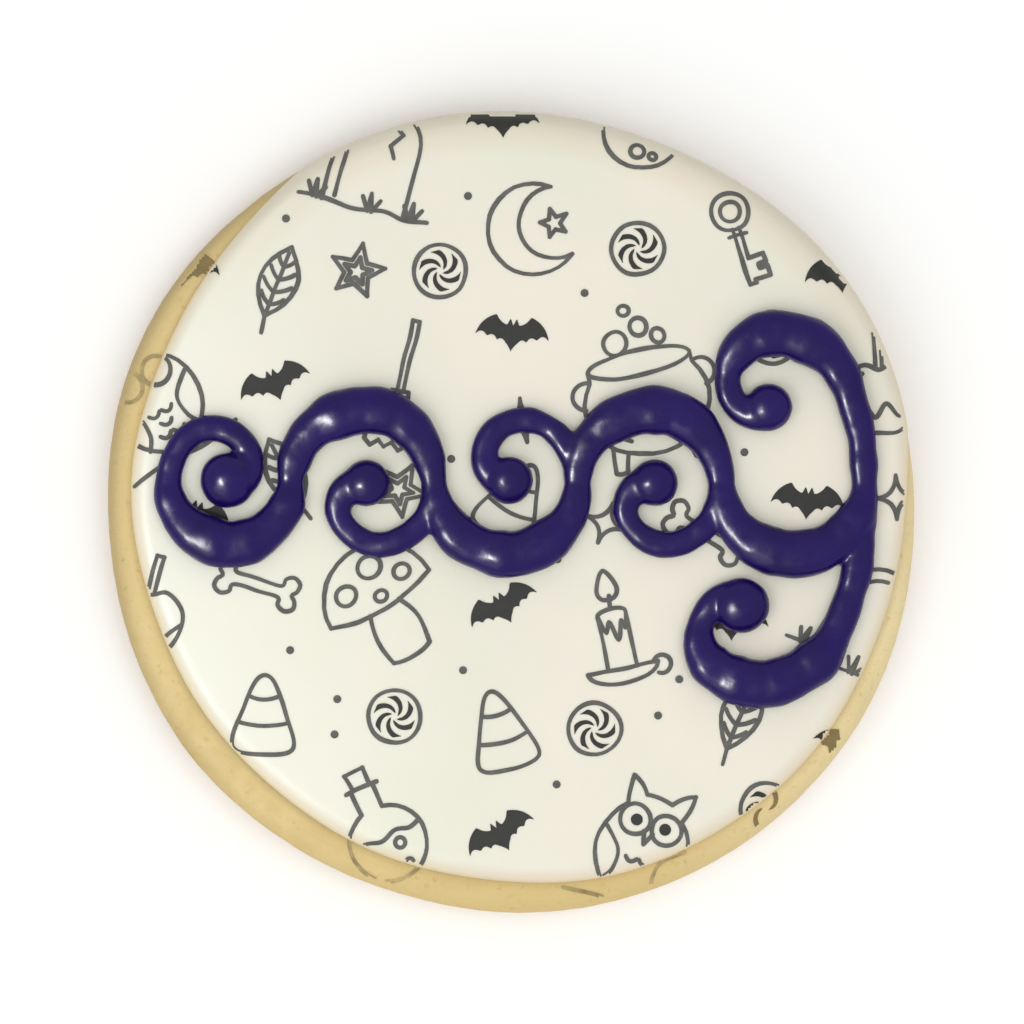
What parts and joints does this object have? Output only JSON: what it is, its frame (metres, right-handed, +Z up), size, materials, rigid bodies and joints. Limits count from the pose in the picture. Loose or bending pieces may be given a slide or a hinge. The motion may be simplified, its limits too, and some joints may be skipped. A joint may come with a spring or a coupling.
{
  "type": "halloween cookie",
  "caption": "Round iced biscuit lying flat, with a smooth cream icing top, a thin print of line drawings and a thick piped scroll of dark indigo icing.",
  "frame": {"origin": "centre of the flat base, on the surface that the biscuit lies on, under the middle of its outline", "axes": "+Z up through the iced face, +X to the right along the scroll, +Y towards the top of the print"},
  "size_m": [0.0851, 0.0844, 0.0123],
  "materials": {
    "baked_dough": "matte, pale golden shortbread dough",
    "cream_icing": "smooth, satin, off-white royal icing",
    "indigo_icing": "slightly glossy, dark blue-violet piping",
    "edible_ink": "matte, dark grey printed lines"
  },
  "bodies": {
    "root": {"biscuit": "baked_dough", "flood_icing": "cream_icing", "piped_scroll": "indigo_icing"}
  },
  "joints": []
}
